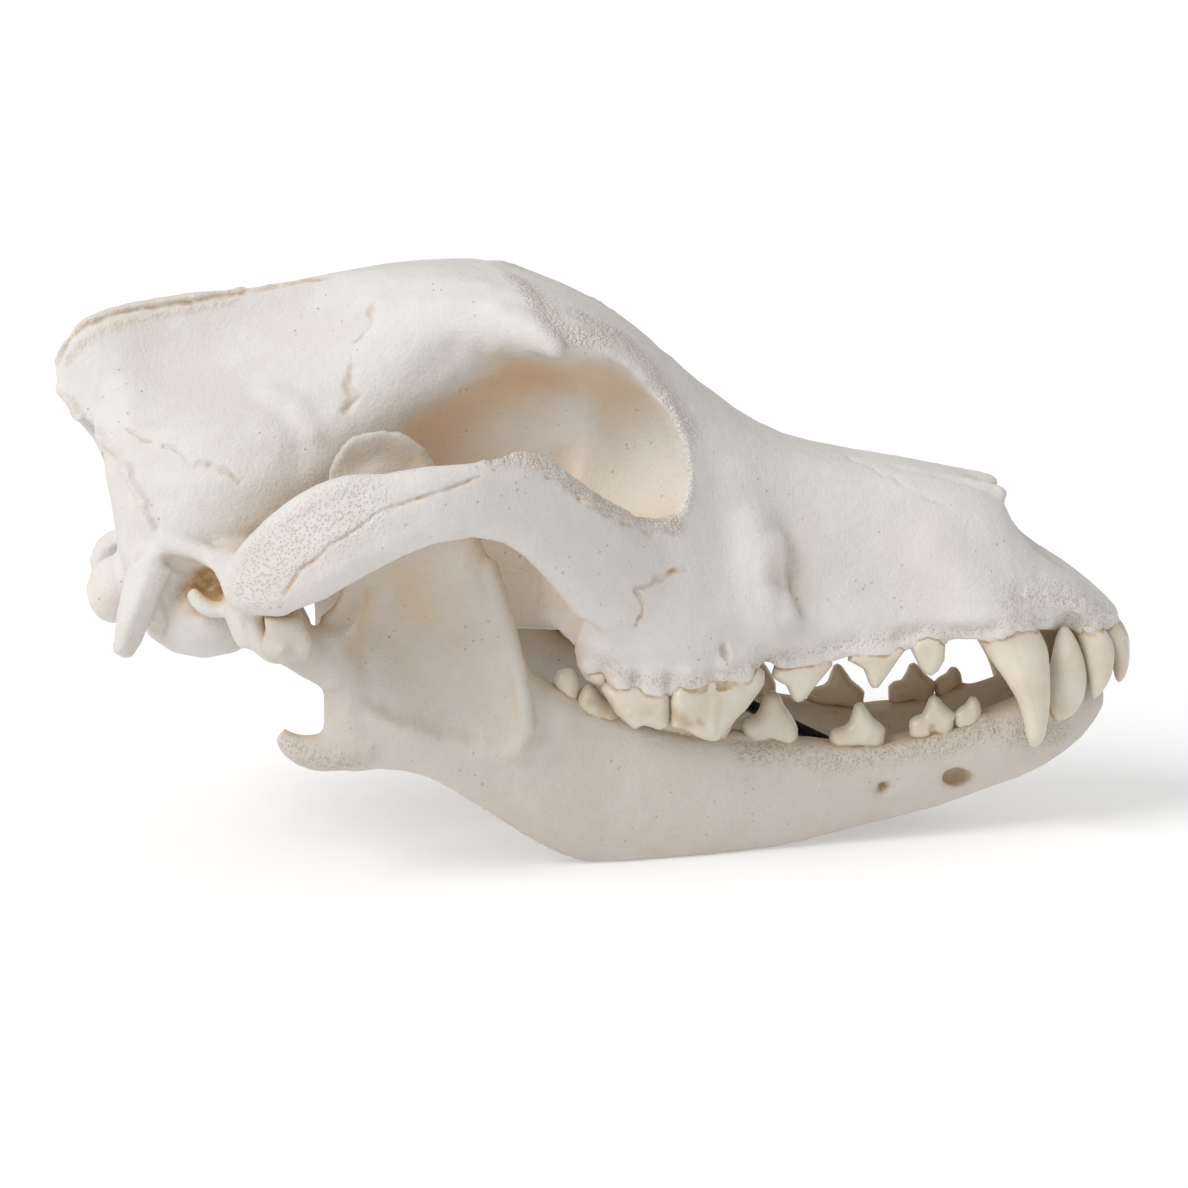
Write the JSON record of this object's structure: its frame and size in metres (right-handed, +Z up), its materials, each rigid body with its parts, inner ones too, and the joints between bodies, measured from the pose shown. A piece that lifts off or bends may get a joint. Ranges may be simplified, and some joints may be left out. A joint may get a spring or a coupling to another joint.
{
  "type": "dog skull",
  "caption": "Life-size dry skull of a large dog with the lower jaw closed and a small dark jaw spring, lying at rest on its lower jaw.",
  "frame": {"origin": "on the floor, under the middle of the skull's length, in its middle plane", "axes": "+X to the nose, +Y to the skull's left, +Z up; the skull's middle plane is Y = 0"},
  "size_m": [0.2234, 0.1238, 0.1205],
  "materials": {
    "bone": "dry bleached bone, matte, ivory with tan hollows and porous margins; glossier ivory teeth",
    "spring": "blackened steel coil"
  },
  "bodies": {
    "root": {"skull_cap": "bone", "skull_base": "bone", "muzzle": "bone", "zygomatic_right": "bone", "zygomatic_left": "bone", "mandible_right": "bone", "mandible_left": "bone", "jaw_spring": "spring"}
  },
  "joints": []
}
